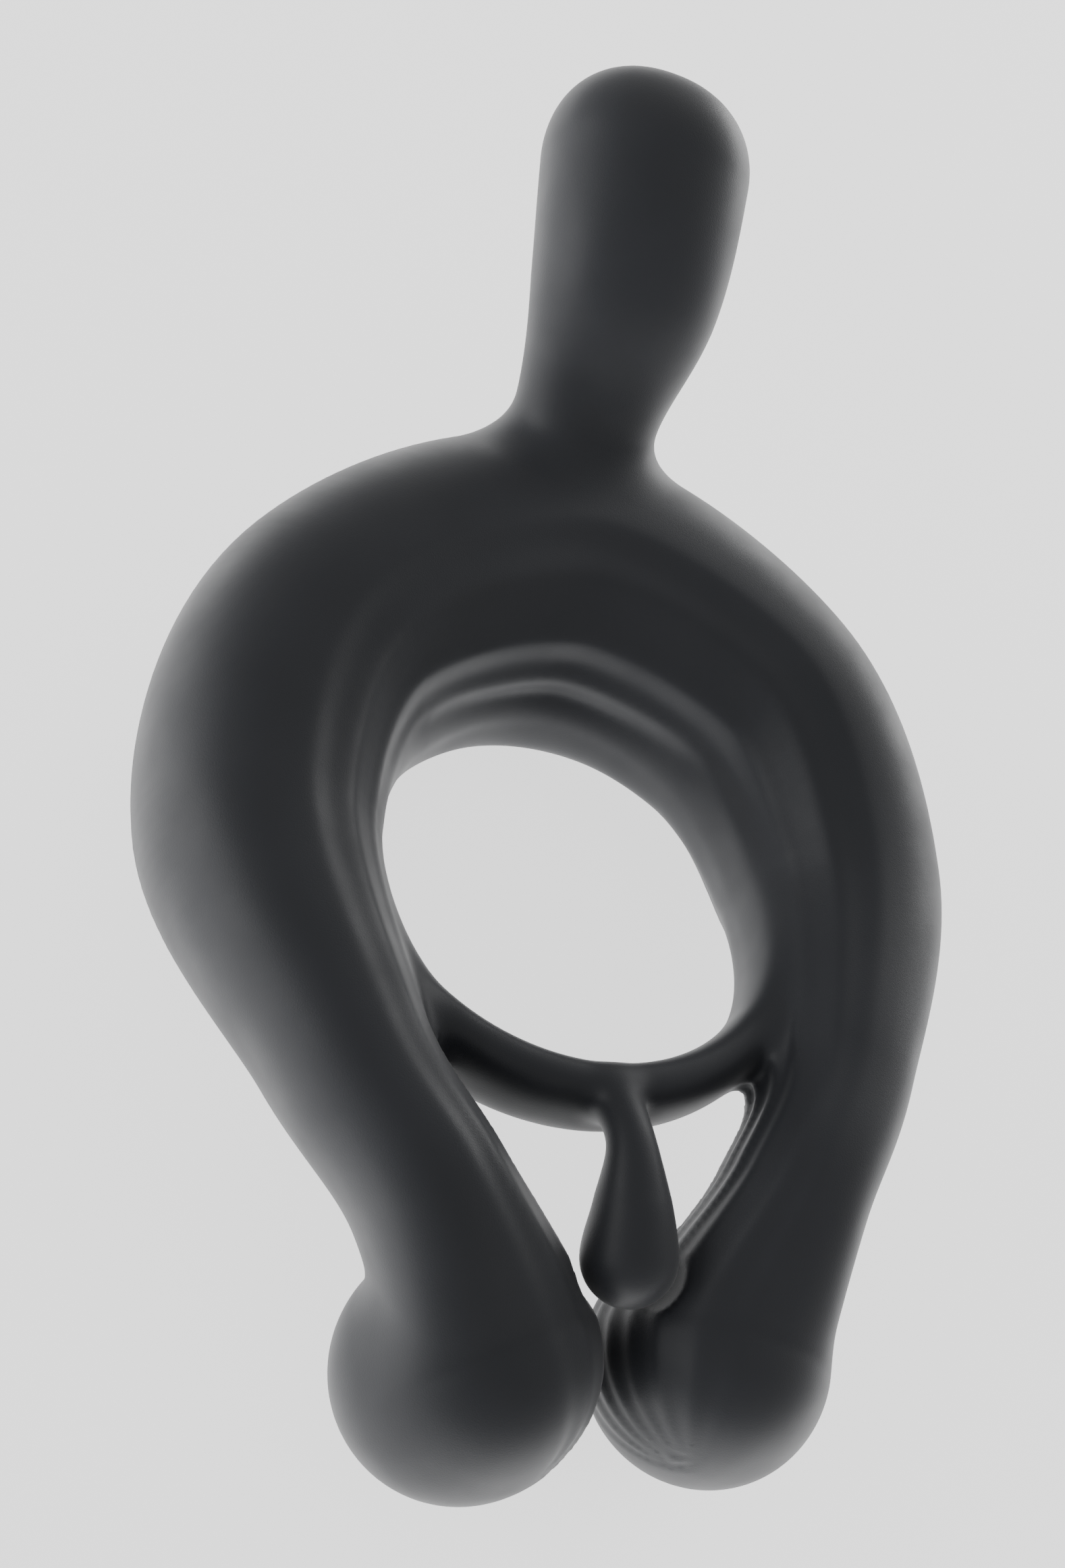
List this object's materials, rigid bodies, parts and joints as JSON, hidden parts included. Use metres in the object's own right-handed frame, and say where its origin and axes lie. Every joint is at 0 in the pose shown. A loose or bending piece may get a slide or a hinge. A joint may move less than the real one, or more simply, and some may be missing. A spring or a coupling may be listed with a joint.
{
  "type": "wearable ring massager",
  "caption": "Soft silicone wearable ring massager: a horseshoe body with an elastic ring, two sprung vibrating arms with round tips, a flexible vibrating tab and a small nub.",
  "frame": {"origin": "centre of the ring, on the horseshoe's mid plane", "axes": "+Z out of the front face, +Y from the ring towards the tab, +X across; mirror-symmetric about X = 0; the part lies on its rear side"},
  "size_m": [0.072, 0.111, 0.048],
  "materials": {
    "silicone_skin": "matte soft-touch silicone",
    "silicone_ring": "matte soft-touch silicone",
    "seal_rubber": "matte",
    "foam": "open-cell foam",
    "hard_plastic": "fine moulded texture",
    "battery_wrap": "heat-shrunk film",
    "board": "solder mask",
    "switch_plastic": "moulded",
    "clear_plastic": "clear moulded",
    "gold_contact": "gold-plated",
    "wire_insulation": "extruded",
    "pale_plastic": "moulded",
    "dark_metal": "sintered tungsten alloy",
    "steel": "drawn and plated"
  },
  "bodies": {
    "main_body": {"arch_skin": "silicone_skin", "ring_band": "silicone_ring", "core_shell_front": "hard_plastic", "core_shell_rear": "hard_plastic", "core_gasket": "seal_rubber", "core_screws": "steel", "core_leads": "wire_insulation", "battery": "battery_wrap", "battery_foam": "foam", "circuit_board": "board", "tact_switch": "switch_plastic", "status_led": "clear_plastic", "light_pipe": "clear_plastic", "charge_pins": "gold_contact", "charge_magnets": "steel"},
    "left_arm": {"arm_skin_left": "silicone_skin", "left_motor_can": "steel", "left_motor_endcap": "pale_plastic", "left_capsule_outer": "hard_plastic", "left_capsule_inner": "hard_plastic", "left_motor_leads": "wire_insulation"},
    "right_arm": {"arm_skin_right": "silicone_skin", "right_motor_can": "steel", "right_motor_endcap": "pale_plastic", "right_capsule_outer": "hard_plastic", "right_capsule_inner": "hard_plastic", "right_motor_leads": "wire_insulation"},
    "tab": {"tab_skin": "silicone_skin", "tab_motor_case": "steel", "tab_motor_base": "gold_contact", "tab_capsule_front": "hard_plastic", "tab_capsule_rear": "hard_plastic", "tab_motor_leads": "wire_insulation"},
    "nub": {"nub": "silicone_skin"},
    "power_button": {"button_cap": "silicone_skin", "button_stem": "hard_plastic"},
    "left_weight": {"left_motor_weight": "dark_metal"},
    "right_weight": {"right_motor_weight": "dark_metal"},
    "tab_rotor": {"tab_motor_rotor": "dark_metal"}
  },
  "joints": [
    {"name": "left_arm_spread", "type": "hinge", "parent": "main_body", "child": "left_arm", "pos_m": [-0.021, -0.0188, 0.0024], "axis": [0, 0, -1], "range_deg": [0, 25], "stiffness_Nm_per_rad": 0.25},
    {"name": "right_arm_spread", "type": "hinge", "parent": "main_body", "child": "right_arm", "pos_m": [0.021, -0.0188, 0.0024], "axis": [0, 0, 1], "range_deg": [0, 25], "stiffness_Nm_per_rad": 0.25},
    {"name": "tab_flex", "type": "hinge", "parent": "main_body", "child": "tab", "pos_m": [0, 0.04, 0.014], "axis": [1, 0, 0], "range_deg": [-20, 20], "stiffness_Nm_per_rad": 0.25},
    {"name": "nub_flex", "type": "hinge", "parent": "main_body", "child": "nub", "pos_m": [0, -0.023, 0.0042], "axis": [1, 0, 0], "range_deg": [-25, 6], "stiffness_Nm_per_rad": 0.02},
    {"name": "power_button_press", "type": "slide", "parent": "main_body", "child": "power_button", "axis": [0, 0, 1], "range_m": [0, 0.0004], "stiffness_N_per_m": 1200},
    {"name": "left_weight_spin", "type": "hinge", "parent": "left_arm", "child": "left_weight", "pos_m": [-0.0124, -0.0358, 0.0001], "axis": [0.3691, -0.8489, -0.3783], "continuous": true},
    {"name": "right_weight_spin", "type": "hinge", "parent": "right_arm", "child": "right_weight", "pos_m": [0.0124, -0.0358, 0.0001], "axis": [-0.3691, -0.8489, -0.3783], "continuous": true},
    {"name": "tab_rotor_spin", "type": "hinge", "parent": "tab", "child": "tab_rotor", "pos_m": [0, 0.051, 0.026], "axis": [0, -0.7071, 0.7071], "continuous": true}
  ]
}
